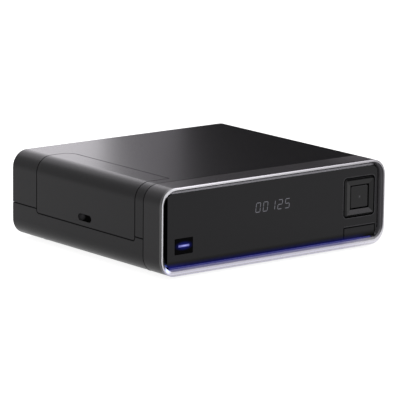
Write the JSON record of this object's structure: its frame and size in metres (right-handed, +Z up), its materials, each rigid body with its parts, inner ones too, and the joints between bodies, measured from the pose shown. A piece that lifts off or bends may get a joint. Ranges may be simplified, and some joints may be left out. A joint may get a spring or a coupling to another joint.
{
  "type": "media player with hard drive tray",
  "caption": "Desktop media player with a round-shouldered metal casing, a gloss front with keys and display, and a side drawer that carries a hard drive",
  "frame": {"origin": "centre of the footprint, on the surface the feet stand on", "axes": "+Z up, front faces -Y, the drawer pulls out towards -X"},
  "size_m": [0.2284, 0.205, 0.0725],
  "materials": {
    "cover_metal": "satin anodised, dark grey",
    "ring_metal": "bright satin",
    "window_plastic": "gloss black",
    "key_plastic": "gloss black",
    "lamp_plastic": "clear, lit",
    "light_plastic": "clear, lit blue",
    "black_plastic": "matte black",
    "board_green": "solder mask, satin",
    "steel_bright": "bare steel",
    "steel_sheet": "zinc plated sheet",
    "screw_steel": "black zinc",
    "drive_alloy": "as cast, satin",
    "foot_rubber": "matte",
    "display_glass": "dark glass",
    "sink_alloy": "black anodised",
    "component_black": "moulded",
    "cable_grey": "flat cable",
    "socket_steel": "nickel plated shell"
  },
  "bodies": {
    "case": {"base_shell": "cover_metal", "top_cover": "cover_metal", "rubber_feet": "foot_rubber", "case_screws": "screw_steel", "front_trim_ring": "ring_metal", "front_collar": "cover_metal", "front_panel": "window_plastic", "light_bar": "light_plastic", "flap_pin": "steel_bright", "front_usb_port": "socket_steel", "front_board": "board_green", "front_screws": "screw_steel", "display_module": "display_glass", "tact_switches": "component_black", "ir_receiver": "component_black", "bay_frame": "steel_sheet", "bay_screws": "screw_steel", "backplane_board": "board_green", "drive_socket": "component_black", "main_board": "board_green", "board_screws": "screw_steel", "heat_sink": "sink_alloy", "board_components": "component_black", "ribbon_socket": "component_black", "ribbon_cable": "cable_grey", "rear_panel": "black_plastic", "rear_screws": "screw_steel", "hdmi_socket": "socket_steel", "ethernet_jack": "socket_steel", "usb_sockets": "socket_steel", "esata_socket": "component_black", "rca_jacks": "socket_steel", "optical_socket": "component_black", "dc_jack": "component_black", "fan_frame": "black_plastic", "fan_screws": "screw_steel"},
    "drawer": {"drive_tray": "steel_sheet", "drive_casting": "drive_alloy", "drive_lid": "steel_bright", "drive_board": "board_green", "drive_screws": "screw_steel"},
    "hatch": {"side_hatch": "cover_metal"},
    "power_key": {"power_button": "key_plastic", "power_lamp": "lamp_plastic"},
    "ok_key": {"ok_button": "key_plastic"},
    "rocker_gimbal": {"nav_gimbal": "black_plastic"},
    "rocker": {"nav_ring": "key_plastic"},
    "port_flap": {"usb_flap": "window_plastic"},
    "fan_wheel": {"fan_rotor": "component_black"}
  },
  "joints": [
    {"name": "drawer_slide", "type": "slide", "parent": "case", "child": "drawer", "axis": [-1, 0, 0], "range_m": [0, 0.105]},
    {"name": "hatch_pull", "type": "slide", "parent": "drawer", "child": "hatch", "axis": [-1, 0, 0], "range_m": [0, 0.03]},
    {"name": "power_press", "type": "slide", "parent": "case", "child": "power_key", "axis": [0, 1, 0], "range_m": [0, 0.0006], "stiffness_N_per_m": 500},
    {"name": "ok_press", "type": "slide", "parent": "case", "child": "ok_key", "axis": [0, 1, 0], "range_m": [0, 0.0006], "stiffness_N_per_m": 500},
    {"name": "rocker_tilt_up_down", "type": "hinge", "parent": "case", "child": "rocker_gimbal", "pos_m": [0.0891, -0.0939, 0.043], "axis": [1, 0, 0], "range_deg": [-1.8, 1.8], "stiffness_Nm_per_rad": 0.05},
    {"name": "rocker_tilt_left_right", "type": "hinge", "parent": "rocker_gimbal", "child": "rocker", "pos_m": [0.0891, -0.0939, 0.043], "axis": [0, 0, 1], "range_deg": [-1.8, 1.8], "stiffness_Nm_per_rad": 0.05},
    {"name": "flap_hinge", "type": "hinge", "parent": "case", "child": "port_flap", "pos_m": [0.0898, -0.0981, 0.0101], "axis": [1, 0, 0], "range_deg": [0, 90]},
    {"name": "fan_spin", "type": "hinge", "parent": "case", "child": "fan_wheel", "pos_m": [0.08605, 0.0895, 0.04], "axis": [0, 1, 0], "continuous": true}
  ]
}
